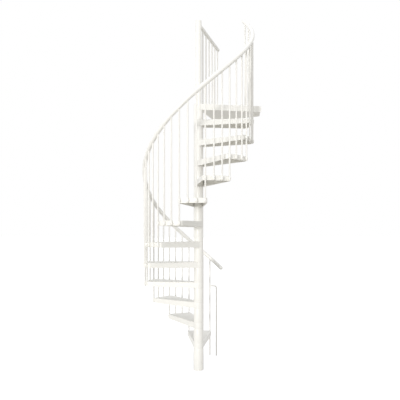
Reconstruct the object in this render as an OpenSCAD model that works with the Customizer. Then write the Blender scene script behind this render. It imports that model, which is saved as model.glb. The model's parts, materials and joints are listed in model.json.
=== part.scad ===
// White painted steel spiral stair: centre column, pan treads, rod balusters,
// helical handrail and a landing with its own straight balustrade.
// Frame: millimetres, Z up, origin at the centre of the column's foot on the floor.
// The stair climbs anticlockwise seen from above; angles run from +X towards +Y.

/* [Flight] */
// Number of treads below the landing
tread_count = 12; // [6:1:12]
// Height from one tread to the next
riser = 212; // [180:1:235]
// Height of the first tread above the floor
first_riser = 288; // [220:1:300]
// Height of the landing above the last tread
landing_riser = 165; // [140:1:235]
// Turn from one tread to the next, in degrees
tread_angle = 25; // [22:0.5:28]
// Direction of the first nosing, in degrees
start_angle = 76.4; // [74:0.1:78]

/* [Column] */
// Outer diameter of the centre pole
pole_d = 63.5; // [50:0.5:76]
// Wall of the centre pole
pole_wall = 4; // [3:0.5:8]
// Outer diameter of the hubs and spacer sleeves
sleeve_d = 100; // [88:1:120]
// Outer diameter of the foot sleeve
foot_d = 106; // [100:1:124]
// Wall of the foot sleeve
foot_wall = 3; // [2:0.5:4]
// Thickness of the base plate inside the foot sleeve
base_plate_t = 10; // [8:1:16]
// Circle diameter of the floor anchors
anchor_circle_d = 80; // [76:1:92]
// Hole diameter for a floor anchor
anchor_hole_d = 9; // [6:0.5:10]
// Height of the pole's top above the landing rail's centre
post_above = 24; // [22:1:120]
// Height of the cap on the pole
cap_height = 14; // [8:1:24]

/* [Treads] */
// Radius of the circle of balusters
baluster_circle_r = 566; // [480:1:700]
// Thickness of the pressed sheet
sheet_t = 4; // [3:0.5:6]
// Depth of the outer fascia
fascia_depth = 48; // [40:1:60]
// Depth of the side flanges at the hub
hub_depth = 62; // [54:1:110]
// Overlap past each joint baluster, in degrees
tread_overlap = 2.3; // [1:0.1:2.6]
// Radius of the outer corners
corner_r = 28; // [16:1:44]

/* [Balusters] */
// Diameter of a baluster rod
baluster_d = 16; // [12:0.5:20]
// Outer diameter of a baluster collar
collar_d = 27; // [24:0.5:32]
// Height of a baluster collar
collar_h = 26; // [16:1:32]
// Distance from a tread's top down to its collars
collar_drop = 12; // [8:1:14]
// Height of the bent starter rod above the floor
starter_height = 812; // [600:1:840]
// Distance along the circle from the first baluster to the starter rod
starter_reach = 80; // [70:1:120]
// Bend radius of the starter rod
starter_bend_r = 28; // [20:1:40]

/* [Handrail] */
// Diameter of the handrail tube
rail_d = 43; // [36:0.5:48]
// Height of the handrail's centre above the line of nosings
rail_rise = 853; // [800:1:1000]
// Part of a step the handrail runs on below the first baluster
rail_tail = 0.55; // [0.3:0.05:0.8]
// Part of a step the handrail runs on above the landing's edge
rail_head = 0.42; // [0.4:0.02:0.6]

/* [Landing] */
// Distance from the column's axis to the landing's near right-hand corner, along X
landing_x = 668; // [640:1:760]
// Distance from the column's axis to the landing's far left-hand corner, along Y
landing_y = 720; // [705:1:780]
// Distance from the column's axis to its far right-hand corner, along X
landing_right_x = 705; // [640:1:780]
// Distance from the column's axis to its far right-hand corner, along Y
landing_right_y = 485; // [440:1:600]
// Direction of the landing's near edge, in degrees
near_edge_angle = 8; // [7:0.5:9]
// Direction of the landing's balustrade, in degrees
guard_angle = 71.5; // [66:0.5:73]
// Depth of the landing's near flange
landing_depth = 50; // [44:1:60]
// Height of the landing rail's centre above the landing
guard_height = 847; // [700:1:900]
// Diameter of the landing rail
guard_rail_d = 40; // [32:0.5:44]
// Distance from the column's axis to the first landing baluster
guard_first = 147; // [120:1:160]
// Distance from one landing baluster to the next
guard_pitch = 113.5; // [90:0.5:115]
// Hole diameter for the bolts along the landing's right-hand edge
wall_hole_d = 12; // [9:0.5:14]
// Distance between those bolts
wall_hole_pitch = 300; // [150:5:360]
// Distance those bolts stand in from the near right-hand corner, along X
wall_hole_inset = 30; // [20:1:50]

/* [Hidden] */
$fn = 48;

// Clearance between pieces that are fitted together
fit = 0.25;
// Extra length that carries a cut clear of a face
over = 1;
// Paint on the sheet metal, the rods and the rail
paint = [0.93, 0.92, 0.89];
rod_paint = [0.88, 0.87, 0.84];
rail_paint = [0.95, 0.94, 0.92];

// Radii
pole_r = pole_d / 2;
hub_r = sleeve_d / 2;
rod_r = baluster_d / 2;
rail_r = rail_d / 2;
guard_r = guard_rail_d / 2;
bore_r = pole_r + fit;
// Half the width of a tread or of the landing where it meets its hub
neck_share = 0.92;
neck_r = hub_r * neck_share;
// The fascia's outer face stays clear of the rods, which only their collars hold
rod_clear = 1.5;
fascia_r = baluster_circle_r - rod_r - rod_clear;
// Part of the fascia's radius at which the side flanges stop getting deeper
flat_share = 0.96;
// Parts of the cap's height and of the pole's radius that its cone starts and ends at
cap_band = 0.6;
cap_top = 0.6;

// Heights
landing_z = first_riser + (tread_count - 1) * riser + landing_riser;
guard_z = landing_z + guard_height;
pole_top_z = guard_z + post_above;
function tread_z(i) = first_riser + (i - 1) * riser;
// Height of the handrail's centre at a step counted from the first nosing
function rail_z(k) = first_riser + k * riser + rail_rise;
// Direction of a step counted from the first nosing
function step_angle(k) = start_angle + k * tread_angle;
// Climb of the handrail, in degrees
rail_slope = atan(riser / (baluster_circle_r * tread_angle * PI / 180));

// Half the angle a tread covers
tread_half = tread_angle / 2 + tread_overlap;
rods_per_tread = 3;
// The landing laps over the last tread, whose last rod stands on the landing,
// as do two more at the handrail's head
lap_rods = 1;
head_rods = 2;
function own_rods(i) = rods_per_tread - (i == tread_count ? lap_rods : 0);
guard_rods = 6;
wall_holes = 2;
anchors = 4;

// Points of an arc about a centre, from angle a to angle b
function arc(c, r, a, b, n) =
  [for (j = [0 : n]) c + r * [cos(a + (b - a) * j / n), sin(a + (b - a) * j / n)]];

// Outline of a tread that points along +X: sides tangent to a hub circle, an outer
// arc and two rounded corners. A positive inset gives the inside of the sheet.
function side_angle() =
  tread_half - asin(neck_r / fascia_r);
function tread_outline(inset) =
  let (neck = neck_r - inset,
       r = fascia_r - inset,
       c = corner_r - inset,
       s = side_angle(),
       along = sqrt(pow(r - c, 2) - pow(neck - c, 2)),
       foot = neck - c,
       centre = [along * cos(s) - foot * sin(s), along * sin(s) + foot * cos(s)],
       swing = atan2(centre[1], centre[0]),
       upper = concat(
         arc([0, 0], r, 0, swing, 10),
         arc(centre, c, swing, s + 90, 8),
         [[-neck * sin(s), neck * cos(s)]]),
       lower = [for (j = [len(upper) - 1 : -1 : 1]) [upper[j][0], -upper[j][1]]])
  concat(upper, lower);

// Side view of a pan: deep at the hub, shallow at the fascia
module pan_profile() {
  span = baluster_circle_r;
  rotate([90, 0, 0])
    linear_extrude(2 * span, center = true)
      polygon([[-hub_r, 0], [span, 0], [span, -fascia_depth],
        [fascia_r * flat_share, -fascia_depth], [hub_r, -hub_depth], [-hub_r, -hub_depth]]);
}

// Collar that holds a rod at the fascia, its axis at the rod circle
module collar(a) {
  rotate([0, 0, a])
    translate([baluster_circle_r, 0, -collar_drop - collar_h])
      cylinder(d = collar_d, h = collar_h);
}

// Bore for a rod right through a collar
module collar_bore(a) {
  rotate([0, 0, a])
    translate([baluster_circle_r, 0, -collar_drop - collar_h - over])
      cylinder(r = rod_r + fit, h = collar_h + 2 * over);
}

// Angles of a tread's collars from its middle: the nosing rod, the two rods
// between and the rod of the tread above; the last tread has none of those
function collar_angles(i) =
  [for (j = [0 : own_rods(i) - (i == tread_count ? 1 : 0)])
    -tread_angle / 2 + j * tread_angle / rods_per_tread];

// A pressed tread with its hub and collars
module tread(i) {
  color(paint)
    translate([0, 0, tread_z(i)])
      rotate([0, 0, step_angle(i - 0.5)])
        difference() {
          union() {
            intersection() {
              difference() {
                translate([0, 0, -hub_depth])
                  linear_extrude(hub_depth)
                    polygon(tread_outline(0));
                translate([0, 0, -hub_depth - over])
                  linear_extrude(hub_depth + over - sheet_t)
                    polygon(tread_outline(sheet_t));
              }
              pan_profile();
            }
            translate([0, 0, -hub_depth])
              cylinder(r = hub_r, h = hub_depth);
            for (a = collar_angles(i)) {
              collar(a);
            }
          }
          translate([0, 0, -hub_depth - over])
            cylinder(r = bore_r, h = hub_depth + 2 * over);
          for (a = collar_angles(i)) {
            collar_bore(a);
          }
        }
}

// Round plate under the pole, drilled for the floor anchors
module base_plate() {
  color(paint)
    difference() {
      cylinder(r = foot_d / 2 - foot_wall - fit, h = base_plate_t);
      for (j = [0 : anchors - 1]) {
        rotate([0, 0, j * 360 / anchors])
          translate([anchor_circle_d / 2, 0, -over])
            cylinder(d = anchor_hole_d, h = base_plate_t + 2 * over);
      }
    }
}

// Sleeve that covers the base plate and carries the first hub
module foot_sleeve() {
  top = tread_z(1) - hub_depth;
  color(paint)
    difference() {
      cylinder(d = foot_d, h = top);
      translate([0, 0, -over])
        cylinder(r = foot_d / 2 - foot_wall, h = top - sheet_t + over);
      translate([0, 0, -over])
        cylinder(r = bore_r, h = top + 2 * over);
    }
}

// Tube that runs the height of the stair
module centre_pole() {
  color(paint)
    translate([0, 0, base_plate_t])
      difference() {
        cylinder(r = pole_r, h = pole_top_z - base_plate_t);
        translate([0, 0, -over])
          cylinder(r = pole_r - pole_wall, h = pole_top_z - base_plate_t + 2 * over);
      }
}

// Low turned cap on the pole, domed by a shallow cone
module pole_cap() {
  color(paint)
    translate([0, 0, pole_top_z])
      union() {
        cylinder(r = pole_r, h = cap_height * cap_band);
        translate([0, 0, cap_height * cap_band])
          cylinder(r1 = pole_r, r2 = pole_r * cap_top, h = cap_height * (1 - cap_band));
      }
}

// Sleeve between two hubs
module spacer(z0, z1) {
  translate([0, 0, z0])
    difference() {
      cylinder(r = hub_r, h = z1 - z0);
      translate([0, 0, -over])
        cylinder(r = bore_r, h = z1 - z0 + 2 * over);
    }
}

// Sleeves that set the height of every tread and of the landing
module spacer_sleeves() {
  color(paint)
    union() {
      for (i = [1 : tread_count - 1]) {
        spacer(tread_z(i), tread_z(i + 1) - hub_depth);
      }
      spacer(tread_z(tread_count), landing_z - hub_depth);
    }
}

// Outline of the landing: near and guard edges tangent to a circle about the axis, and
// straight edges between the two right-hand and the two far corners. A positive inset
// moves the near edge inwards and a positive reach moves the others outwards.
function landing_outline(inset, reach) =
  let (front = neck_r - inset,
       back = neck_r + reach,
       x = landing_x + reach,
       y = landing_y + reach,
       a = near_edge_angle,
       g = guard_angle,
       near = (x - front * sin(a)) / cos(a),
       far = (y - back * cos(g)) / sin(g))
  [[front * sin(a), -front * cos(a)],
   [x, near * sin(a) - front * cos(a)],
   [landing_right_x + reach, landing_right_y + reach],
   [far * cos(g) - back * sin(g), y],
   [-back * sin(g), back * cos(g)]];

// Landing plate folded down at its near edge, with its hub; its right-hand side is bolted
// on to the upper floor
module landing() {
  wall_y = (landing_outline(0, 0)[1][1] + landing_right_y) / 2;
  color(paint)
    translate([0, 0, landing_z])
      difference() {
        union() {
          difference() {
            translate([0, 0, -landing_depth])
              linear_extrude(landing_depth)
                polygon(landing_outline(0, 0));
            translate([0, 0, -landing_depth - over])
              linear_extrude(landing_depth + over - sheet_t)
                polygon(landing_outline(sheet_t, over));
          }
          translate([0, 0, -hub_depth])
            cylinder(r = hub_r, h = hub_depth);
        }
        translate([0, 0, -hub_depth - over])
          cylinder(r = bore_r, h = hub_depth + 2 * over);
        for (j = [0 : wall_holes - 1]) {
          translate([landing_x - wall_hole_inset,
              wall_y + (j - (wall_holes - 1) / 2) * wall_hole_pitch, -sheet_t - over])
            cylinder(d = wall_hole_d, h = sheet_t + 2 * over);
        }
      }
}

// Rod at step k from height z0 up to the handrail, its top cut to the rail's slope
module rod(k, z0) {
  rotate([0, 0, step_angle(k)])
    translate([baluster_circle_r, 0, 0])
      difference() {
        translate([0, 0, z0])
          cylinder(r = rod_r, h = rail_z(k) - z0);
        translate([0, 0, rail_z(k)])
          rotate([rail_slope, 0, 0])
            translate([-rail_d, -2 * rail_d, -rail_r - fit])
              cube([2 * rail_d, 4 * rail_d, 4 * rail_d]);
      }
}

// Rods of one tread: the long one at its nosing, which reaches the tread below or
// the floor, and those that end at its own fascia
module balusters(i) {
  foot = tread_z(i) - fascia_depth;
  color(rod_paint)
    union() {
      rod(i - 1, i == 1 ? 0 : foot - riser);
      for (j = [1 : own_rods(i) - 1]) {
        rod(i - 1 + j / rods_per_tread, foot);
      }
    }
}

// Rods that carry the handrail's head and stand on the landing
module rail_head_balusters() {
  color(rod_paint)
    union() {
      for (j = [-lap_rods : head_rods - 1]) {
        rod(tread_count + j / rods_per_tread, landing_z);
      }
    }
}

// Bent rod beside the first baluster: level out of it, round a bend, down to the floor
module starter_rod() {
  turn = starter_reach / baluster_circle_r * 180 / PI;
  chord = 2 * baluster_circle_r * sin(turn / 2);
  color(rod_paint)
    rotate([0, 0, start_angle - turn])
      translate([baluster_circle_r, 0, 0])
        rotate([0, 0, turn / 2])
          union() {
            cylinder(r = rod_r, h = starter_height - starter_bend_r);
            translate([0, starter_bend_r, starter_height - starter_bend_r])
              rotate([0, -90, 0])
                rotate([0, 0, -90])
                  rotate_extrude(angle = 90)
                    translate([starter_bend_r, 0])
                      circle(r = rod_r);
            difference() {
              translate([0, starter_bend_r, starter_height])
                rotate([-90, 0, 0])
                  cylinder(r = rod_r, h = chord - starter_bend_r);
              translate([0, chord, starter_height - rail_d])
                cylinder(r = rod_r + fit, h = 2 * rail_d);
            }
          }
}

// Rods of the landing's balustrade
module guard_balusters() {
  color(rod_paint)
    rotate([0, 0, guard_angle])
      union() {
        for (j = [0 : guard_rods - 1]) {
          translate([guard_first + j * guard_pitch, 0, landing_z])
            cylinder(r = rod_r, h = guard_height - guard_r - fit);
        }
      }
}

// Straight rail of the landing's balustrade, coped to the pole
module guard_rail() {
  last = guard_first + (guard_rods - 1) * guard_pitch;
  color(rail_paint)
    difference() {
      rotate([0, 0, guard_angle])
        translate([0, 0, guard_z])
          rotate([0, 90, 0])
            cylinder(r = guard_r, h = last + guard_r + rod_r);
      translate([0, 0, guard_z - guard_rail_d])
        cylinder(r = bore_r, h = 2 * guard_rail_d);
    }
}

// Ring of the handrail's surface at step k
rail_sides = 20;
function rail_ring(k) =
  let (a = step_angle(k), b = rail_slope)
  [for (j = [0 : rail_sides - 1])
    let (u = rail_r * cos(j * 360 / rail_sides), v = rail_r * sin(j * 360 / rail_sides))
    [(baluster_circle_r + u) * cos(a) + v * sin(b) * sin(a),
     (baluster_circle_r + u) * sin(a) - v * sin(b) * cos(a),
     rail_z(k) + v * cos(b)]];

// Length of handrail between steps k0 and k1, a tube swept along a helix
module rail_sweep(k0, k1) {
  n = ceil((k1 - k0) * tread_angle / 4);
  points = [for (i = [0 : n]) each rail_ring(k0 + (k1 - k0) * i / n)];
  sides = [for (i = [0 : n - 1], j = [0 : rail_sides - 1])
    let (next = (j + 1) % rail_sides)
    [i * rail_sides + j, (i + 1) * rail_sides + j,
     (i + 1) * rail_sides + next, i * rail_sides + next]];
  first = [[for (j = [0 : rail_sides - 1]) j]];
  last = [[for (j = [rail_sides - 1 : -1 : 0]) n * rail_sides + j]];
  polyhedron(points, concat(first, sides, last), convexity = 6);
}

// Quarter of the handrail, butted to the next with a hair's gap
rail_parts = 4;
rail_k0 = -rail_tail;
rail_k1 = tread_count + rail_head;
function rail_cut(p) = rail_k0 + (rail_k1 - rail_k0) * p / rail_parts;
gap_k = fit / baluster_circle_r * 180 / PI / tread_angle;
module handrail(p) {
  color(rail_paint)
    rail_sweep(rail_cut(p - 1), rail_cut(p) - (p == rail_parts ? 0 : gap_k));
}

// Half-round cap on an end of the handrail
module rail_end(k, dir) {
  rotate([0, 0, step_angle(k)])
    translate([baluster_circle_r, 0, rail_z(k)])
      rotate([rail_slope, 0, 0])
        translate([0, dir * fit, 0])
          intersection() {
            sphere(r = rail_r);
            translate([-rail_d, dir > 0 ? 0 : -rail_d, -rail_d])
              cube([2 * rail_d, rail_d, 2 * rail_d]);
          }
}

// Caps on the handrail's two ends
module handrail_caps() {
  color(rail_paint)
    union() {
      rail_end(rail_k0, -1);
      rail_end(rail_k1, 1);
    }
}

base_plate();
foot_sleeve();
centre_pole();
pole_cap();
spacer_sleeves();
tread(1);  // tread_01
tread(2);  // tread_02
tread(3);  // tread_03
tread(4);  // tread_04
tread(5);  // tread_05
tread(6);  // tread_06
tread(7);  // tread_07
tread(8);  // tread_08
tread(9);  // tread_09
tread(10);  // tread_10
tread(11);  // tread_11
tread(12);  // tread_12
landing();
balusters(1);  // balusters_01
balusters(2);  // balusters_02
balusters(3);  // balusters_03
balusters(4);  // balusters_04
balusters(5);  // balusters_05
balusters(6);  // balusters_06
balusters(7);  // balusters_07
balusters(8);  // balusters_08
balusters(9);  // balusters_09
balusters(10);  // balusters_10
balusters(11);  // balusters_11
balusters(12);  // balusters_12
starter_rod();
rail_head_balusters();
guard_balusters();
guard_rail();
handrail(1);  // handrail_1
handrail(2);  // handrail_2
handrail(3);  // handrail_3
handrail(4);  // handrail_4
handrail_caps();
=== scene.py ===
"""Looks of a white painted steel spiral stair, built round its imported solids.

Lengths are metres and angles are degrees unless a name says otherwise. The stair climbs
anticlockwise seen from above. A step number k counts treads from the first nosing, so the
rod at k = 0 is the first baluster and tread i runs from k = i - 1 to k = i.
"""

import json
import logging
import math
from dataclasses import dataclass, field
from enum import Enum
from typing import Any, Callable, Iterable, Union

import bmesh
import bpy
import numpy as np
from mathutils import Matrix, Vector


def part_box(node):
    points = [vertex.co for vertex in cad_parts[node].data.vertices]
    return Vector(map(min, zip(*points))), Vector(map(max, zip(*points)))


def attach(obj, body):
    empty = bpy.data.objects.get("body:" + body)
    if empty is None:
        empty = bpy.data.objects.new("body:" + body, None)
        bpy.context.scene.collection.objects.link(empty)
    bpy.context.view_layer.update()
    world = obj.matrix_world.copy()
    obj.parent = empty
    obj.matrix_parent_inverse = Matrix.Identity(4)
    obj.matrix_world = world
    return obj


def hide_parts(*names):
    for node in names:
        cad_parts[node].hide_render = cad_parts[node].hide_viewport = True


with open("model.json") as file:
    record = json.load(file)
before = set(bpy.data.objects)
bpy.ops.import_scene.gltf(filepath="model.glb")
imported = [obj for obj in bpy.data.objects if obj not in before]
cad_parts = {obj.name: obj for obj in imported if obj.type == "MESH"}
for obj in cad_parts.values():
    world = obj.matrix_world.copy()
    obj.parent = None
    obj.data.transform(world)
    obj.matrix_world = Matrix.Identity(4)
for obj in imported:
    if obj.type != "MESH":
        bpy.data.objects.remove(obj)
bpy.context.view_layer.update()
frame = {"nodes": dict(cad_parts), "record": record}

BODY = "root"
LOG = logging.getLogger("spiral_stair")


class Slot(Enum):
    """The record's material slots."""

    TREAD = "tread_paint"
    COLUMN = "column_paint"
    ROD = "rod_paint"
    RAIL = "rail_paint"


class Closing(Enum):
    """How a turned profile is closed: end to start as a ring, or by a lid at each end."""

    RING = "ring"
    LIDS = "lids"


# Shader maths


class Wire:
    """A value in a material's node tree that takes part in Python expressions."""

    def __init__(self, tree: bpy.types.NodeTree, socket: bpy.types.NodeSocket) -> None:
        """Keeps the tree and the output socket."""
        self.tree = tree
        self.socket = socket

    def maths(self, operation: str, left: "Value", right: "Value") -> "Wire":
        """Adds a Math node.

        Args:
            operation: the Math node's operation.
            left: first value, a wire or a number.
            right: second value, a wire or a number.

        Returns:
            The node's result.
        """
        node = self.tree.nodes.new("ShaderNodeMath")
        node.operation = operation
        for socket, value in zip(node.inputs, (left, right)):
            plug(self.tree, socket, value)
        return Wire(self.tree, node.outputs[0])

    def __add__(self, other: "Value") -> "Wire":
        """Sum."""
        return self.maths("ADD", self, other)

    def __radd__(self, other: "Value") -> "Wire":
        """Sum with a number on the left."""
        return self.maths("ADD", other, self)

    def __sub__(self, other: "Value") -> "Wire":
        """Difference."""
        return self.maths("SUBTRACT", self, other)

    def __rsub__(self, other: "Value") -> "Wire":
        """Difference from a number on the left."""
        return self.maths("SUBTRACT", other, self)

    def __mul__(self, other: "Value") -> "Wire":
        """Product."""
        return self.maths("MULTIPLY", self, other)

    def __rmul__(self, other: "Value") -> "Wire":
        """Product with a number on the left."""
        return self.maths("MULTIPLY", other, self)


Value = Union[Wire, float, int, tuple]


def plug(tree: bpy.types.NodeTree, socket: bpy.types.NodeSocket, value: Value) -> None:
    """Links a wire to a socket, or sets the socket's own value.

    Args:
        tree: the node tree.
        socket: an input socket.
        value: a wire, a number or a tuple.
    """
    if isinstance(value, Wire):
        tree.links.new(value.socket, socket)
    else:
        socket.default_value = value


class Shading:
    """The node tree of one new material or of the world."""

    def __init__(self, tree: bpy.types.NodeTree) -> None:
        """Empties the tree."""
        self.tree = tree
        tree.nodes.clear()

    def node(self, kind: str, settings: dict[str, Any], inputs: dict[Union[str, int], Value],
             output: Union[str, None] = None) -> Union[Wire, None]:
        """Adds any node.

        Args:
            kind: the node's type.
            settings: its properties, set first.
            inputs: values or wires by the socket's name, or by its place where names repeat.
            output: name of the output to return, or None for the first one in use.

        Returns:
            The chosen output, or None for a node that has none.
        """
        made = self.tree.nodes.new(kind)
        for name, value in settings.items():
            setattr(made, name, value)
        for key, value in inputs.items():
            by_name = (s for s in made.inputs if s.name == key and s.enabled)
            plug(self.tree, made.inputs[key] if isinstance(key, int) else next(by_name), value)
        chosen = next((s for s in made.outputs if s.enabled and output in (None, s.name)), None)
        return Wire(self.tree, chosen) if chosen else None

    def place(self) -> Wire:
        """Object coordinates."""
        return self.node("ShaderNodeTexCoord", {}, {}, "Object")

    def noise(self, scale: float, detail: float) -> Wire:
        """Noise from 0 to 1 on Object coordinates.

        Args:
            scale: number of blots in a metre.
            detail: octaves.

        Returns:
            The noise's value.
        """
        return self.node("ShaderNodeTexNoise", {}, {"Vector": self.place(), "Scale": scale,
                                                    "Detail": detail, "Roughness": 0.55})

    def cosine(self, towards: tuple[float, float, float]) -> Wire:
        """Cosine of the angle between a ray of the sky and a direction.

        Args:
            towards: the direction, of any length.

        Returns:
            The dot product of the two unit vectors.
        """
        unit = tuple(v / math.hypot(*towards) for v in towards)
        ray = self.node("ShaderNodeTexCoord", {}, {}, "Generated")
        return self.node("ShaderNodeVectorMath", {"operation": "DOT_PRODUCT"}, {0: ray, 1: unit}, "Value")

    def blend(self, factor: Value, first: tuple, second: tuple) -> Wire:
        """Mix of two colours.

        Args:
            factor: 0 gives the first colour, 1 the second.
            first: a colour.
            second: a colour.

        Returns:
            The mixed colour.
        """
        return self.node("ShaderNodeMix", {"data_type": "RGBA"}, {"Factor": factor, "A": first, "B": second})


def colour(rgb: tuple[float, float, float], scale: float = 1.0) -> tuple[float, float, float, float]:
    """A colour with alpha 1, made lighter or darker.

    Args:
        rgb: linear red, green and blue.
        scale: what each is multiplied by.

    Returns:
        Red, green, blue and alpha.
    """
    return (rgb[0] * scale, rgb[1] * scale, rgb[2] * scale, 1.0)


@dataclass(frozen=True)
class Paint:
    """A sprayed finish: even colour with faint clouds, slight sheen and a fine peel."""

    name: str
    rgb: tuple[float, float, float]
    roughness: float
    cloud: float
    peel: float
    coat: float
    metal: float = 0.0
    cloud_scale: float = 3.0
    cloud_gloss: float = 0.10
    peel_scale: float = 420.0
    peel_height: float = 0.0004
    peel_gloss: float = 0.04
    coat_roughness: float = 0.25

    def material(self) -> bpy.types.Material:
        """Makes the material: clouds move colour and roughness, the peel moves the normal.

        Returns:
            The finished material.
        """
        made = bpy.data.materials.new(self.name)
        made.use_nodes = True
        shading = Shading(made.node_tree)
        clouds = shading.noise(self.cloud_scale, 3.0)
        grain = shading.noise(self.peel_scale, 2.0)
        base = shading.blend(clouds, colour(self.rgb, 1.0 - self.cloud), colour(self.rgb))
        rough = self.roughness + self.cloud_gloss * (clouds - 0.5) + self.peel_gloss * (grain - 0.5)
        bump = shading.node("ShaderNodeBump", {}, {"Strength": self.peel, "Distance": self.peel_height,
                                                   "Height": grain})
        surface = shading.node("ShaderNodeBsdfPrincipled", {}, {
            "Base Color": base, "Roughness": rough, "Metallic": self.metal, "Coat Weight": self.coat,
            "Coat Roughness": self.coat_roughness, "Normal": bump})
        shading.node("ShaderNodeOutputMaterial", {}, {"Surface": surface})
        return made


WHITE = (0.905, 0.898, 0.868)
FINISHES: dict[Slot, Paint] = {
    Slot.TREAD: Paint("tread_powder_coat", WHITE, 0.46, 0.030, 0.25, 0.10),
    Slot.COLUMN: Paint("column_powder_coat", WHITE, 0.42, 0.025, 0.20, 0.12),
    Slot.ROD: Paint("rod_powder_coat", (0.885, 0.877, 0.848), 0.40, 0.025, 0.15, 0.12),
    Slot.RAIL: Paint("rail_sleeve_plastic", (0.90, 0.894, 0.87), 0.32, 0.020, 0.10, 0.20),
}
ZINC = Paint("zinc_screw", (0.62, 0.62, 0.60), 0.35, 0.10, 0.15, 0.0, metal=1.0)
# Painted shade: a grey finish for the thin rings laid in the column's joints, standing in for the shadow in
# the grooves.
GAP_SHADE = Paint("seal_ring", (0.60, 0.58, 0.54), 0.70, 0.05, 0.10, 0.0)


# Surfaces


@dataclass(frozen=True)
class Patch:
    """A surface as points and faces.

    points has a row of x, y, z for each vertex. quads and triangles hold vertex numbers.
    """

    points: np.ndarray
    quads: np.ndarray
    triangles: np.ndarray = field(default_factory=lambda: np.zeros((0, 3), int))

    def moved(self, angle: float = 0.0, offset: Iterable[float] = (0.0, 0.0, 0.0)) -> "Patch":
        """The patch shifted by the offset and then turned about Z.

        Args:
            angle: turn about the Z axis, in degrees.
            offset: shift in x, y and z.

        Returns:
            A new patch.
        """
        c, s = math.cos(math.radians(angle)), math.sin(math.radians(angle))
        turn = np.array([[c, s, 0.0], [-s, c, 0.0], [0.0, 0.0, 1.0]])
        return Patch((self.points + np.asarray(tuple(offset))) @ turn, self.quads, self.triangles)


def grid_quads(rows: int, cols: int, wrap_rows: bool, wrap_cols: bool) -> np.ndarray:
    """Quads between neighbours of a grid whose vertex number is row * cols + column.

    Args:
        rows: number of rows.
        cols: number of columns.
        wrap_rows: joins the last row to the first.
        wrap_cols: joins the last column to the first.

    Returns:
        One row of four vertex numbers for each quad.
    """
    i = np.arange(rows if wrap_rows else rows - 1)[:, None]
    j = np.arange(cols if wrap_cols else cols - 1)[None, :]
    below, after = (i + 1) % rows, (j + 1) % cols
    corners = np.broadcast_arrays(i * cols + j, i * cols + after, below * cols + after, below * cols + j)
    return np.stack(corners, axis=-1).reshape(-1, 4)


def capped(rings: np.ndarray) -> Patch:
    """Closes a grid of rings with a fan at each end, about the mean of the end ring.

    Args:
        rings: array of rings, points and coordinates.

    Returns:
        A closed patch.
    """
    rows, cols, _ = rings.shape
    j = np.arange(cols)
    after = (j + 1) % cols
    first, last = rows * cols, rows * cols + 1
    low = np.stack([np.full(cols, first), after, j], axis=-1)
    base = (rows - 1) * cols
    high = np.stack([np.full(cols, last), base + j, base + after], axis=-1)
    points = np.vstack([rings.reshape(-1, 3), rings[0].mean(0), rings[-1].mean(0)])
    return Patch(points, grid_quads(rows, cols, False, True), np.vstack([low, high]))


def circle(sides: int) -> np.ndarray:
    """Cosine and sine of evenly spaced angles, one row for each side."""
    turn = np.linspace(0.0, 2.0 * np.pi, sides, endpoint=False)
    return np.stack([np.cos(turn), np.sin(turn)], axis=-1)


def lathe(profile: np.ndarray, sides: int, closing: Closing) -> Patch:
    """Carries a profile round the Z axis: x = r cos a, y = r sin a, z as in the profile.

    Args:
        profile: rows of radius and height.
        sides: number of steps round the axis.
        closing: how the profile is closed.

    Returns:
        A closed patch.
    """
    ring = circle(sides)
    radius, height = profile[:, 0], profile[:, 1]
    flat = radius[:, None, None] * ring[None]
    rise = np.broadcast_to(height[:, None, None], (len(profile), sides, 1))
    grid = np.concatenate([flat, rise], axis=-1)
    if closing is Closing.LIDS:
        return capped(grid)
    return Patch(grid.reshape(-1, 3), grid_quads(len(profile), sides, True, True))


def ring_profile(inner: float, outer: float, low: float, high: float, edge: float) -> np.ndarray:
    """Section of a ring whose outer edges have a small round of four chords.

    Args:
        inner: bore radius.
        outer: outer radius.
        low: bottom height.
        high: top height.
        edge: radius of the outer edges.

    Returns:
        A closed profile of radius and height.
    """
    turn = np.radians(np.linspace(-90.0, 0.0, 5))
    foot = np.stack([outer - edge + edge * np.cos(turn), low + edge + edge * np.sin(turn)], axis=-1)
    head = np.stack([foot[::-1, 0], low + high - foot[::-1, 1]], axis=-1)
    return np.vstack([[inner, low], foot, head, [inner, high]])


def fold_steps(level: float = 0.1, chords: int = 5) -> tuple[np.ndarray, np.ndarray]:
    """Steps over a folded edge of radius 1: a short level strip, then a quarter circle.

    The strip keeps the flat surface inside it from being shaded as part of the round.

    Args:
        level: width of the strip.
        chords: number of chords in the quarter circle.

    Returns:
        How far each step lies inside the outer face, and how far below the top.
    """
    turn = np.radians(np.linspace(0.0, 90.0, chords + 1))
    return np.append(1.0 + level, 1.0 - np.sin(turn)), np.append(0.0, 1.0 - np.cos(turn))


def sweep(path: np.ndarray, across: np.ndarray, radius: float, sides: int) -> Patch:
    """Carries a circle along a path, square to it, and closes both ends flat.

    A point is path + radius (cos a * across + sin a * over), with over square to the path and
    to across.

    Args:
        path: points along the middle line.
        across: a unit vector square to the path at each point.
        radius: the tube's radius.
        sides: number of steps round the tube.

    Returns:
        A closed patch.
    """
    along = np.gradient(path, axis=0)
    over = np.cross(along, across)
    over /= np.linalg.norm(over, axis=1, keepdims=True)
    ring = circle(sides)
    spokes = ring[None, :, :1] * across[:, None, :] + ring[None, :, 1:] * over[:, None, :]
    return capped(path[:, None, :] + radius * spokes)


def dress(piece: bpy.types.Object, nodes: Iterable[str] = ()) -> bpy.types.Object:
    """Puts a piece on the stair's body and hides the solids it stands for.

    Args:
        piece: the finished piece.
        nodes: names of the solids that it stands for.

    Returns:
        The piece.
    """
    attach(piece, BODY)
    if nodes:
        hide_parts(*nodes)
    LOG.info("piece %s: %d faces", piece.name, len(piece.data.polygons))
    return piece


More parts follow.
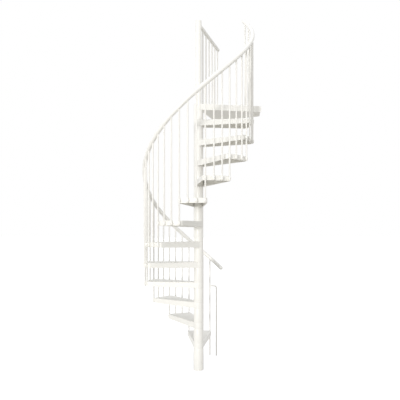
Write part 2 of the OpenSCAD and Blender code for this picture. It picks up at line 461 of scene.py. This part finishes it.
def make_piece(name: str, patches: list[Patch], material: bpy.types.Material,
               crease: float = 35.0) -> bpy.types.Object:
    """Joins patches into one mesh object at the origin, smooth but for creases.

    Args:
        name: the piece's name.
        patches: its surfaces, in the stair's frame.
        material: its finish.
        crease: angle over which an edge stays sharp, in degrees.

    Returns:
        The new object.
    """
    starts = np.cumsum([0] + [len(p.points) for p in patches[:-1]])
    points = np.vstack([p.points for p in patches])
    quads = np.vstack([p.quads + s for p, s in zip(patches, starts)])
    triangles = np.vstack([p.triangles + s for p, s in zip(patches, starts)])
    mesh = bpy.data.meshes.new(name)
    mesh.vertices.add(len(points))
    mesh.vertices.foreach_set("co", points.astype(np.float32).ravel())
    corners = np.concatenate([quads.ravel(), triangles.ravel()]).astype(np.int32)
    counts = np.concatenate([np.full(len(quads), 4), np.full(len(triangles), 3)])
    mesh.loops.add(len(corners))
    mesh.loops.foreach_set("vertex_index", corners)
    mesh.polygons.add(len(counts))
    mesh.polygons.foreach_set("loop_start", (np.cumsum(counts) - counts).astype(np.int32))
    mesh.update(calc_edges=True)
    shell = bmesh.new()
    shell.from_mesh(mesh)
    bmesh.ops.recalc_face_normals(shell, faces=shell.faces)
    shell.to_mesh(mesh)
    shell.free()
    mesh.polygons.foreach_set("use_smooth", np.ones(len(mesh.polygons), bool))
    mesh.set_sharp_from_angle(angle=math.radians(crease))
    mesh.materials.append(material)
    piece = bpy.data.objects.new(name, mesh)
    bpy.context.scene.collection.objects.link(piece)
    return piece


# The stair's sizes


def top_of(node: str) -> float:
    """Height of a solid's top."""
    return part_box(node)[1].z


def half_width(node: str) -> float:
    """Half a solid's width along X."""
    low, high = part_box(node)
    return (high.x - low.x) / 2.0


@dataclass
class Stair:
    """Sizes that more than one sub-assembly uses; those set later come from the solids."""

    treads: int = 12
    rods_per_tread: int = 3
    lap_rods: int = 1
    head_rods: int = 2
    turn: float = 25.0
    start: float = 76.4
    circle_r: float = 0.566
    rod_r: float = 0.008
    rail_r: float = 0.0215
    rail_rise: float = 0.853
    rail_tail: float = 0.55
    rail_head: float = 0.42
    sheet: float = 0.004
    fascia_depth: float = 0.048
    hub_depth: float = 0.062
    collar_r: float = 0.0135
    collar_h: float = 0.026
    collar_drop: float = 0.012
    guard_angle: float = 71.5
    neck_share: float = 0.92
    fold: float = 0.006
    edge: float = 0.0016
    sides: int = 72
    fit: float = 0.00025
    first: float = field(init=False)
    riser: float = field(init=False)
    landing: float = field(init=False)
    pole_r: float = field(init=False)
    hub_r: float = field(init=False)
    neck_r: float = field(init=False)
    slope: float = field(init=False)

    def __post_init__(self) -> None:
        """Reads heights and radii from the solids."""
        self.first = top_of("tread_01")
        self.riser = top_of("tread_02") - self.first
        self.landing = top_of("landing")
        self.pole_r = half_width("centre_pole")
        self.hub_r = half_width("spacer_sleeves")
        self.neck_r = self.hub_r * self.neck_share
        self.slope = self.riser / (self.circle_r * math.radians(self.turn))

    def own_rods(self, i: int) -> int:
        """Number of a tread's rods; the last one of the last tread stands on the landing."""
        return self.rods_per_tread - (self.lap_rods if i == self.treads else 0)

    def hub(self, depth: float) -> Patch:
        """A hub about the Z axis: a ring with eased edges that hangs below z = 0."""
        profile = ring_profile(self.pole_r + self.fit, self.hub_r, -depth, 0.0, self.edge)
        return lathe(profile, self.sides, Closing.RING)

    def tread_z(self, i: int) -> float:
        """Height of a tread's top."""
        return self.first + (i - 1) * self.riser

    def angle(self, k: Any) -> Any:
        """Direction of step k."""
        return self.start + k * self.turn

    def rail_z(self, k: Any) -> Any:
        """Height of the handrail's middle at step k."""
        return self.first + k * self.riser + self.rail_rise


# Column


@dataclass
class Column:
    """Foot, sleeves, pole and cap, all turned about the Z axis."""

    stair: Stair
    material: bpy.types.Material
    # Finish and size of the grey rings that paint shade into the joints between sleeves and hubs.
    joint_shade: bpy.types.Material
    joint_shade_r: float = 0.0011
    joint_shade_sides: int = 8
    foot_wall: float = 0.003
    pole_wall: float = 0.004
    cap_dome: float = 0.45
    cap_foot: float = 0.97

    def turned(self, profile: np.ndarray, closing: Closing = Closing.RING) -> Patch:
        """A profile turned in the column's number of sides."""
        return lathe(profile, self.stair.sides, closing)

    def sleeve_spans(self) -> list[tuple[float, float]]:
        """Spans of the sleeves between hubs.

        Returns:
            Bottom and top of each sleeve.
        """
        s = self.stair
        tops = [s.tread_z(i) for i in range(1, s.treads + 1)] + [s.landing]
        return [(low, high - s.hub_depth) for low, high in zip(tops[:-1], tops[1:])]

    def sleeves(self) -> None:
        """Rings between the hubs with eased edges."""
        s = self.stair
        bore = s.pole_r + s.fit
        patches = [self.turned(ring_profile(bore, s.hub_r, low, high, s.edge))
                   for low, high in self.sleeve_spans()]
        dress(make_piece("column_sleeves", patches, self.material), ["spacer_sleeves"])

    def joint_shade_rings(self) -> None:
        """Thin grey rings in the grooves between sleeves and hubs: painted shade that darkens each joint
        like a shadow line.

        Each is a small circle carried round the axis just inside the eased edges.
        """
        s = self.stair
        heights = [h for span in self.sleeve_spans() for h in span]
        one = self.turned(circle(self.joint_shade_sides) * self.joint_shade_r + np.array([s.hub_r - s.edge, 0.0]))
        patches = [one.moved(0.0, (0.0, 0.0, h)) for h in heights]
        dress(make_piece("column_seams", patches, self.joint_shade))

    def foot(self) -> None:
        """Foot sleeve as a thin bell: a closed profile with a lid that fits the pole."""
        s = self.stair
        outer, top = half_width("foot_sleeve"), top_of("foot_sleeve")
        inner, bore, under = outer - self.foot_wall, s.pole_r + s.fit, top - s.sheet
        outside = ring_profile(inner, outer, 0.0, top, s.edge)
        bell = self.turned(np.vstack([outside[:-1], [bore, top], [bore, under], [inner, under]]))
        dress(make_piece("column_foot", [bell], self.material), ["foot_sleeve"])

    def pole(self) -> None:
        """Pole as a plain tube with eased ends."""
        s = self.stair
        low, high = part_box("centre_pole")
        tube = self.turned(ring_profile(s.pole_r - self.pole_wall, s.pole_r, low.z, high.z, s.edge))
        dress(make_piece("column_pole", [tube], self.material), ["centre_pole"])

    def cap(self) -> None:
        """Turned cap: a short band, then a quarter ellipse that closes on the axis."""
        s = self.stair
        low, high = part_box("pole_cap")
        height = high.z - low.z
        turn = np.radians(np.linspace(0.0, 84.0, 9))
        band = low.z + height * (1.0 - self.cap_dome)
        dome = np.stack([s.pole_r * np.cos(turn), band + height * self.cap_dome * np.sin(turn)], axis=-1)
        profile = np.vstack([[s.pole_r * self.cap_foot, low.z], [s.pole_r, low.z + s.edge], dome])
        cap = self.turned(profile, Closing.LIDS)
        dress(make_piece("column_cap", [cap], self.material), ["pole_cap"])

    def build(self) -> None:
        """Makes every piece of the column."""
        self.foot()
        self.pole()
        self.sleeves()
        self.joint_shade_rings()
        self.cap()


# Treads


@dataclass
class Treads:
    """Pressed pans on hubs, with collars for the rods and a grub screw in each collar."""

    stair: Stair
    material: bpy.types.Material
    screw: bpy.types.Material
    overlap: float = 2.3
    corner_r: float = 0.028
    rod_clear: float = 0.0015
    hub_bite: float = 0.002
    flat_share: float = 0.96
    collar_edge: float = 0.0014
    collar_sides: int = 28
    screw_r: float = 0.0028
    screw_proud: float = 0.0012
    screw_sides: int = 12

    def fascia_r(self) -> float:
        """Radius of the fascia's outer face."""
        return self.stair.circle_r - self.stair.rod_r - self.rod_clear

    def outline(self, inset: float) -> np.ndarray:
        """Closed outline of a tread that points along +X, moved inwards by an inset.

        Half of it is an arc about the axis, a corner arc, a straight side tangent to the neck
        circle and an arc inside the hub. The other half mirrors that in the X axis.

        Args:
            inset: distance from the outer outline.

        Returns:
            Rows of x and y; the first row is the fascia's middle.
        """
        s = self.stair
        side = math.radians(s.turn / 2.0 + self.overlap) - math.asin(s.neck_r / self.fascia_r())
        neck, far, corner = s.neck_r - inset, self.fascia_r() - inset, self.corner_r - inset
        along = math.sqrt((far - corner) ** 2 - (neck - corner) ** 2)
        ahead = np.array([math.cos(side), math.sin(side)])
        aside = np.array([-math.sin(side), math.cos(side)])
        centre = along * ahead + (neck - corner) * aside
        swing = math.atan2(centre[1], centre[0])
        hub = s.hub_r - self.hub_bite
        root = math.sqrt(hub ** 2 - neck ** 2) * ahead + neck * aside
        wide = self.arc(far, 0.0, swing, 13)
        bend = centre + self.arc(corner, swing, side + math.pi / 2.0, 11)
        straight = bend[-1] + (root - bend[-1]) * np.linspace(0.0, 1.0, 9)[1:, None]
        inner = self.arc(hub, math.atan2(root[1], root[0]), 0.0, 9)[1:]
        half = np.vstack([wide, bend[1:], straight, inner])
        return np.vstack([half, half[-2:0:-1] * np.array([1.0, -1.0])])

    @staticmethod
    def arc(radius: float, first: float, last: float, count: int) -> np.ndarray:
        """Points of an arc about the axis, its two angles in radians."""
        turn = np.linspace(first, last, count)
        return radius * np.stack([np.cos(turn), np.sin(turn)], axis=-1)

    @staticmethod
    def across_quads(count: int, start: int) -> tuple[np.ndarray, np.ndarray]:
        """Fills an outline by joining each vertex to its mirror image.

        Args:
            count: vertices in the outline.
            start: number of its first vertex.

        Returns:
            Quads and the triangles at the two ends.
        """
        half = count // 2
        j = np.arange(1, half - 1)
        quads = np.stack([j, j + 1, count - j - 1, count - j], axis=-1)
        ends = np.array([[0, 1, count - 1], [half, half + 1, half - 1]])
        return quads + start, ends + start

    def pan(self) -> Patch:
        """A pan: the outline's rings go over the fold, down the flange, round its lip and up inside.

        The flange's depth falls in a straight line from the hub to near the fascia.

        Returns:
            A closed patch with its top at z = 0, pointing along +X.
        """
        s = self.stair
        inset, fall = fold_steps()
        rings = [self.outline(r) for r in (*(s.fold * inset), 0.0, s.sheet, s.sheet)]
        grid = np.zeros((len(rings), len(rings[0]), 3))
        grid[:, :, :2] = rings
        grid[:len(fall), :, 2] = -s.fold * fall[:, None]
        grid[-3:-1, :, 2] = np.interp(grid[-3:-1, :, 0], [s.hub_r, self.fascia_r() * self.flat_share],
                                      [-s.hub_depth, -s.fascia_depth])
        grid[-1, :, 2] = -s.sheet
        rows, cols = grid.shape[:2]
        top_quads, top_ends = self.across_quads(cols, 0)
        under_quads, under_ends = self.across_quads(cols, (rows - 1) * cols)
        quads = np.vstack([grid_quads(rows, cols, False, True), top_quads, under_quads])
        return Patch(grid.reshape(-1, 3), quads, np.vstack([top_ends, under_ends]))

    def collar_steps(self, i: int) -> np.ndarray:
        """Steps at which a tread has collars; the last tread has none at its rear.

        Args:
            i: the tread's number.

        Returns:
            The steps, as an array.
        """
        s = self.stair
        count = s.own_rods(i) + (0 if i == s.treads else 1)
        return (i - 1) + np.arange(count) / s.rods_per_tread

    def collar(self) -> Patch:
        """A collar about the Z axis with its top at its drop below the tread.

        Returns:
            A closed patch.
        """
        s = self.stair
        top = -s.collar_drop
        profile = ring_profile(s.rod_r + s.fit, s.collar_r, top - s.collar_h, top, self.collar_edge)
        return lathe(profile, self.collar_sides, Closing.RING)

    def grub_screw(self) -> Patch:
        """A screw along X through a collar: a socketed end turned about X.

        The profile is turned about Z first and its axes are then exchanged.

        Returns:
            A closed patch.
        """
        s = self.stair
        out = s.collar_r + self.screw_proud
        shares = np.array([0.9, 1.0, 0.85, 0.5, 0.45])
        heights = np.array([s.rod_r + 2.0 * s.fit, s.collar_r, out, out, s.collar_r])
        profile = np.stack([self.screw_r * shares, heights], axis=-1)
        turned = lathe(profile, self.screw_sides, Closing.LIDS)
        return Patch(turned.points[:, [2, 0, 1]], turned.quads, turned.triangles)

    def build(self) -> None:
        """Makes each tread and the grub screws of all its collars."""
        s = self.stair
        pan, hub, collar, screw = self.pan(), s.hub(s.hub_depth), self.collar(), self.grub_screw()
        screws: list[Patch] = []
        for i in range(1, s.treads + 1):
            z = s.tread_z(i)
            middle = s.angle(i - 0.5)
            patches = [pan.moved(middle, (0.0, 0.0, z)), hub.moved(middle, (0.0, 0.0, z))]
            for k in self.collar_steps(i):
                patches.append(collar.moved(s.angle(k), (s.circle_r, 0.0, z)))
                centre = z - s.collar_drop - s.collar_h / 2.0
                screws.append(screw.moved(s.angle(k), (s.circle_r, 0.0, centre)))
            name = f"tread_{i:02d}"
            dress(make_piece(f"pan_{name}", patches, self.material), [name])
        dress(make_piece("collar_screws", screws, self.screw))


# Rods


@dataclass
class Rods:
    """Balusters of the flight, the starter rod and the landing's balusters."""

    stair: Stair
    material: bpy.types.Material
    sides: int = 20
    edge: float = 0.0018
    bite: float = 0.003
    starter_reach: float = 0.080
    starter_bend: float = 0.028
    starter_short: float = 0.0048
    guard_first: float = 0.147
    guard_pitch: float = 0.1135
    guard_count: int = 6

    def rod(self, k: float, foot: float) -> Patch:
        """A rod of the flight, its top cut to the handrail's slope.

        The top's height is the rail's underside above the rod, plus the slope times the
        distance along the rail, plus a little that goes into the rail.

        Args:
            k: its step.
            foot: height of its lower end.

        Returns:
            A closed patch.
        """
        s = self.stair
        radii = s.rod_r - self.edge * np.array([1.0, 0.3, 0.0, 0.0])
        grid = np.zeros((4, self.sides, 3))
        grid[:, :, :2] = radii[:, None, None] * circle(self.sides)[None]
        grid[:3, :, 2] = (foot + self.edge * np.array([0.0, 0.3, 1.0]))[:, None]
        under = s.rail_z(k) - s.rail_r * math.hypot(1.0, s.slope)
        grid[3, :, 2] = under + self.bite + s.slope * grid[3, :, 1]
        return capped(grid).moved(s.angle(k), (s.circle_r, 0.0, 0.0))

    def flight(self) -> None:
        """Rods of each tread, and those at the handrail's head."""
        s = self.stair
        for i in range(1, s.treads + 1):
            foot = s.tread_z(i) - s.fascia_depth
            feet = [0.0 if i == 1 else foot - s.riser] + [foot] * (s.own_rods(i) - 1)
            patches = [self.rod(i - 1 + j / s.rods_per_tread, f) for j, f in enumerate(feet)]
            name = f"balusters_{i:02d}"
            dress(make_piece(f"rods_{name}", patches, self.material), [name])
        head = [self.rod(s.treads + j / s.rods_per_tread, s.landing)
                for j in range(-s.lap_rods, s.head_rods)]
        dress(make_piece("rods_rail_head", head, self.material), ["rail_head_balusters"])

    def starter(self) -> None:
        """Bent rod: up from the floor, round a quarter circle and level to the first baluster."""
        s = self.stair
        height = top_of("starter_rod") - s.rod_r
        turn = self.starter_reach / s.circle_r
        chord = 2.0 * s.circle_r * math.sin(turn / 2.0)
        bend = np.radians(np.linspace(180.0, 90.0, 15))
        rise = np.linspace(0.0, height - self.starter_bend, 4)[:-1]
        level = np.linspace(self.starter_bend, chord - self.starter_short, 4)[1:]
        y = np.concatenate([0.0 * rise, self.starter_bend * (1.0 + np.cos(bend)), level])
        z = np.concatenate([rise, height + self.starter_bend * (np.sin(bend) - 1.0), 0.0 * level + height])
        path = np.stack([0.0 * y, y, z], axis=-1)
        across = np.tile([1.0, 0.0, 0.0], (len(path), 1))
        bent = sweep(path, across, s.rod_r, self.sides).moved(math.degrees(turn) / 2.0)
        placed = bent.moved(s.start - math.degrees(turn), (s.circle_r, 0.0, 0.0))
        dress(make_piece("rods_starter", [placed], self.material), ["starter_rod"])

    def guard(self) -> None:
        """Upright rods of the landing's balustrade: plain cylinders in a row."""
        s = self.stair
        top = top_of("guard_balusters") + self.bite
        one = lathe(np.array([[s.rod_r, s.landing], [s.rod_r, top]]), self.sides, Closing.LIDS)
        patches = [one.moved(s.guard_angle, (self.guard_first + j * self.guard_pitch, 0.0, 0.0))
                   for j in range(self.guard_count)]
        dress(make_piece("rods_guard", patches, self.material), ["guard_balusters"])

    def build(self) -> None:
        """Makes every rod."""
        self.flight()
        self.starter()
        self.guard()


# Rails


@dataclass
class Rails:
    """The helical handrail with its caps, and the landing's straight rail."""

    stair: Stair
    material: bpy.types.Material
    parts: int = 4
    sides: int = 32
    step: float = 0.05
    guard_r: float = 0.020
    guard_root: float = 0.8

    def helix(self, k: np.ndarray) -> tuple[np.ndarray, np.ndarray]:
        """Middle line of the handrail and the outward direction at each step.

        Args:
            k: steps, as an array.

        Returns:
            Points and unit vectors: x = R cos a, y = R sin a, z rising evenly with a.
        """
        s = self.stair
        turn = np.radians(s.angle(k))
        out = np.stack([np.cos(turn), np.sin(turn), 0.0 * turn], axis=-1)
        return out * s.circle_r + np.stack([0.0 * k, 0.0 * k, s.rail_z(k)], axis=-1), out

    def handrail(self) -> None:
        """Four lengths of handrail, butted with a hair's gap."""
        s = self.stair
        cuts = np.linspace(-s.rail_tail, s.treads + s.rail_head, self.parts + 1)
        gap = s.fit / s.circle_r / math.radians(s.turn)
        for p, (low, high) in enumerate(zip(cuts[:-1], cuts[1:]), start=1):
            high = high if p == self.parts else high - gap
            path, out = self.helix(np.linspace(low, high, int((high - low) / self.step)))
            tube = sweep(path, out, s.rail_r, self.sides)
            name = f"handrail_{p}"
            dress(make_piece(f"tube_{name}", [tube], self.material), [name])
        self.caps(cuts[0], cuts[-1])

    def caps(self, low: float, high: float) -> None:
        """Half-round caps: rings that shrink as a quarter circle along the helix's tangent.

        Args:
            low: step of the lower end.
            high: step of the upper end.
        """
        s = self.stair
        turn = np.radians(np.linspace(0.0, 86.0, 10))
        ring = circle(self.sides)
        patches = []
        for k, way in ((low, -1.0), (high, 1.0)):
            path, out = self.helix(np.array([k - 0.001, k, k + 0.001]))
            along = (path[2] - path[0]) / np.linalg.norm(path[2] - path[0])
            over = np.cross(along, out[1])
            spokes = ring[:, :1] * out[1] + ring[:, 1:] * over
            reach = way * (s.fit + s.rail_r * np.sin(turn))
            rings = (path[1] + reach[:, None, None] * along
                     + s.rail_r * np.cos(turn)[:, None, None] * spokes[None])
            patches.append(capped(rings))
        dress(make_piece("tube_handrail_caps", patches, self.material), ["handrail_caps"])

    def guard(self) -> None:
        """Straight rail from just inside the pole's face to its flat end."""
        s = self.stair
        low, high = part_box("guard_rail")
        turn = math.radians(s.guard_angle)
        end = (high.y - self.guard_r * math.cos(turn)) / math.sin(turn)
        reach = np.linspace(s.pole_r * self.guard_root, end, 3)
        path = reach[:, None] * np.array([math.cos(turn), math.sin(turn), 0.0])
        path[:, 2] = (low.z + high.z) / 2.0
        across = np.tile([-math.sin(turn), math.cos(turn), 0.0], (3, 1))
        tube = sweep(path, across, self.guard_r, self.sides)
        dress(make_piece("tube_guard_rail", [tube], self.material), ["guard_rail"])

    def build(self) -> None:
        """Makes both rails."""
        self.handrail()
        self.guard()


# Landing


@dataclass
class Landing:
    """The plate at the head of the stair, folded down along its near edge, and its bolts."""

    stair: Stair
    material: bpy.types.Material
    steel: bpy.types.Material
    near_x: float = 0.668
    right_y: float = 0.485
    near_angle: float = 8.0
    ease: float = 0.001
    proud: float = 0.0003
    washer_r: float = 0.012
    washer_t: float = 0.002
    washer_sides: int = 28
    head_r: float = 0.0095
    head_h: float = 0.0065
    bolt_edge: float = 0.0008

    def corners(self) -> np.ndarray:
        """Corners of the plate, anticlockwise from the near edge's root in the hub.

        The near edge and the balustrade's edge are tangents to the neck circle. A tangent in
        direction d touches it at a right angle to d, and is followed until it meets a given
        x or y.

        Returns:
            Rows of x and y.
        """
        s = self.stair
        _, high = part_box("landing")
        a, g = math.radians(self.near_angle), math.radians(s.guard_angle)
        root = s.neck_r * np.array([math.sin(a), -math.cos(a)])
        head = s.neck_r * np.array([-math.sin(g), math.cos(g)])
        near = root + (self.near_x - root[0]) / math.cos(a) * np.array([math.cos(a), math.sin(a)])
        far = head + (high.y - head[1]) / math.sin(g) * np.array([math.cos(g), math.sin(g)])
        return np.array([root, near, [high.x, self.right_y], far, head])

    def outline(self, near: float, other: float) -> np.ndarray:
        """The plate's outline with its edges moved inwards.

        Each edge's line is moved along its inward normal, and a corner is where two
        neighbouring lines meet. The near edge's far corner is followed by one more point on
        the right-hand edge, just past the fold's thickness, where the fold ends.

        Args:
            near: inset of the near edge.
            other: inset of the three other outer edges.

        Returns:
            Rows of x and y, the first two on the near edge.
        """
        corners = self.corners()
        along = np.roll(corners, -1, axis=0) - corners
        normal = np.stack([-along[:, 1], along[:, 0]], axis=-1) / np.linalg.norm(along, axis=1)[:, None]
        offset = (normal * corners).sum(1) + np.array([near, other, other, other, 0.0])
        lines = np.stack([np.roll(normal, 1, axis=0), normal], axis=1)
        met = np.linalg.solve(lines, np.stack([np.roll(offset, 1), offset], axis=-1)[..., None])[..., 0]
        end = met[1] + (self.stair.fold + self.ease - near) * along[1] / np.linalg.norm(along[1])
        return np.insert(met, 2, end, axis=0)

    def plate(self) -> None:
        """The plate on its hub: rings go over the eased edges, down the near fold and up inside."""
        s = self.stair
        inset, fall = fold_steps()
        low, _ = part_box("landing")
        depth = s.landing - low.z
        near_in = np.concatenate([s.fold * inset, [0.0, s.sheet, s.sheet]])
        near_z = np.concatenate([-s.fold * fall, [-depth, -depth, -s.sheet]])
        other_in = np.concatenate([self.ease * inset, [0.0, s.sheet / 2.0, s.sheet]])
        other_z = np.concatenate([-self.ease * fall, [-s.sheet] * 3])
        rings = np.array([self.outline(*pair) for pair in zip(near_in, other_in)])
        grid = np.concatenate([rings, np.zeros_like(rings[..., :1])], axis=-1)
        grid[:, :2, 2] = near_z[:, None]
        grid[:, 2:, 2] = other_z[:, None]
        hub = s.hub(s.hub_depth + self.proud).moved(0.0, (0.0, 0.0, self.proud))
        patches = [part.moved(0.0, (0.0, 0.0, s.landing)) for part in (capped(grid), hub)]
        dress(make_piece("plate_landing", patches, self.material), ["landing"])

    def bolts(self) -> None:
        """A bolt's head and washer on the plate over each hole of the bolt pattern.

        The washer is turned about the bolt's line and the head is a prism of six sides.
        """
        s = self.stair
        mount = next(m for m in frame["record"]["mounts"] if m["name"] == "landing_bolts")
        x, y, _ = mount["pos_m"]
        half = mount["dims"]["spacing_y_mm"] / 2000.0
        top, edge = s.landing + self.washer_t, self.bolt_edge
        washer = np.array([[self.washer_r, s.landing], [self.washer_r, top - edge],
                           [self.washer_r - edge, top]])
        head = np.array([[self.head_r, top], [self.head_r, top + self.head_h - edge],
                         [self.head_r - 1.5 * edge, top + self.head_h]])
        parts = [lathe(washer, self.washer_sides, Closing.LIDS), lathe(head, 6, Closing.LIDS)]
        patches = [part.moved(0.0, (x, y + side, 0.0)) for part in parts for side in (-half, half)]
        dress(make_piece("landing_bolt_heads", patches, self.steel))

    def build(self) -> None:
        """Makes the plate and its bolts."""
        self.plate()
        self.bolts()


# Studio


@dataclass
class Studio:
    """Floor, lights and camera."""

    floor_size: float = 120.0
    floor_rgb: tuple[float, float, float] = (0.55, 0.53, 0.48)
    lift_rgb: tuple[float, float, float] = (0.96, 1.0, 1.09)
    floor_lift: float = 0.64
    sky_level: float = 0.82
    sky_swing: float = 0.18
    sky_from: tuple[float, float, float] = (-0.30, -0.50, 0.80)
    key_strength: float = 1.42
    key_rgb: tuple[float, float, float] = (1.0, 0.99, 0.97)
    key_from: tuple[float, float, float] = (-0.40, -0.89, 0.04)
    key_softness: float = 8.0
    image_px: float = 400.0
    sensor: float = 36.0
    focal_px: float = 457.0
    axis_px: float = 198.5
    horizon_px: float = 227.0
    camera_back: float = 4.811
    camera_height: float = 1.499

    def floor(self) -> None:
        """A flat pale floor that stays white but for the stair's own soft shadow."""
        half = self.floor_size / 2.0
        corners = np.array([[-half, -half, 0.0], [half, -half, 0.0], [half, half, 0.0], [-half, half, 0.0]])
        made = bpy.data.materials.new("studio_floor")
        made.use_nodes = True
        shading = Shading(made.node_tree)
        matt = shading.node("ShaderNodeBsdfDiffuse", {}, {"Color": colour(self.floor_rgb)})
        glow = shading.node("ShaderNodeEmission", {}, {"Color": colour(self.lift_rgb),
                                                       "Strength": self.floor_lift * self.seen(shading)})
        both = shading.node("ShaderNodeAddShader", {}, {0: matt, 1: glow})
        shading.node("ShaderNodeOutputMaterial", {}, {"Surface": both})
        mesh = bpy.data.meshes.new("studio_floor")
        mesh.from_pydata(corners.tolist(), [], [[0, 1, 2, 3]])
        mesh.materials.append(made)
        plane = bpy.data.objects.new("studio_floor", mesh)
        bpy.context.scene.collection.objects.link(plane)

    @staticmethod
    def seen(shading: Shading) -> Wire:
        """1 for rays that show the surface to the camera, by way of a mirror or glass too."""
        names = ("Is Camera Ray", "Is Glossy Ray", "Is Transmission Ray")
        return sum(shading.node("ShaderNodeLightPath", {}, {}, name) for name in names)

    def world(self) -> None:
        """A sky that looks white and lights the stair more from above and in front.

        Its strength is a level plus a swing times the cosine of the angle to its bright side.
        """
        world = bpy.data.worlds.new("studio_sky")
        world.use_nodes = True
        bpy.context.scene.world = world
        shading = Shading(world.node_tree)
        seen = self.seen(shading)
        cosine = shading.cosine(self.sky_from)
        strength = seen + (1.0 - seen) * (self.sky_level + self.sky_swing * cosine)
        surface = shading.node("ShaderNodeBackground", {}, {"Color": colour((1.0, 1.0, 1.0)),
                                                            "Strength": strength})
        shading.node("ShaderNodeOutputWorld", {}, {"Surface": surface})

    def key(self) -> None:
        """A soft, low sun from the left and in front."""
        lamp = bpy.data.lights.new("key_sun", "SUN")
        lamp.energy = self.key_strength
        lamp.color = self.key_rgb
        lamp.angle = math.radians(self.key_softness)
        sun = bpy.data.objects.new("key_sun", lamp)
        bpy.context.scene.collection.objects.link(sun)
        x, y, z = self.key_from
        tilt = math.atan2(math.hypot(x, y), z)
        sun.rotation_euler = (tilt, 0.0, math.atan2(y, x) + math.pi / 2.0)

    def camera(self) -> None:
        """A level camera in front, set by the photo's horizon and the column's place in it."""
        data = bpy.data.cameras.new("stair_camera")
        data.sensor_width = self.sensor
        data.lens = self.focal_px / self.image_px * self.sensor
        data.shift_x = (self.image_px / 2.0 - self.axis_px) / self.image_px
        data.shift_y = (self.horizon_px - self.image_px / 2.0) / self.image_px
        data.clip_end = 500.0
        camera = bpy.data.objects.new("stair_camera", data)
        camera.location = (0.0, -self.camera_back, self.camera_height)
        camera.rotation_euler = (math.pi / 2.0, 0.0, 0.0)
        bpy.context.scene.collection.objects.link(camera)
        bpy.context.scene.camera = camera

    def build(self) -> None:
        """Makes the whole studio."""
        self.camera()
        self.floor()
        self.world()
        self.key()
        bpy.context.scene.view_settings.view_transform = "Standard"


def paint_solids(materials: dict[Slot, bpy.types.Material]) -> None:
    """Gives every solid the finish of its slot.

    Args:
        materials: finished materials by slot.
    """
    slots = {part["node"]: Slot(part["material_slot"]) for part in frame["record"]["subparts"]}
    for name, solid in frame["nodes"].items():
        solid.data.materials.clear()
        solid.data.materials.append(materials[slots[name]])
        LOG.info("solid %s: %s", name, slots[name].value)


def main() -> None:
    """Builds the stair's pieces in order, then the studio."""
    logging.basicConfig(level=logging.INFO, format="%(name)s: %(message)s")
    materials = {slot: paint.material() for slot, paint in FINISHES.items()}
    # The zinc finish is the screws' own colour; the grey ring finish paints shade into the column's joints.
    steel, gap_shade_material = ZINC.material(), GAP_SHADE.material()
    stair = Stair()
    paint_solids(materials)
    builders: list[Callable[[], None]] = [
        Column(stair, materials[Slot.COLUMN], gap_shade_material).build,
        Treads(stair, materials[Slot.TREAD], steel).build,
        Rods(stair, materials[Slot.ROD]).build,
        Rails(stair, materials[Slot.RAIL]).build,
        Landing(stair, materials[Slot.TREAD], steel).build,
        Studio().build,
    ]
    for build in builders:
        build()


if __name__ == "__main__":
    main()
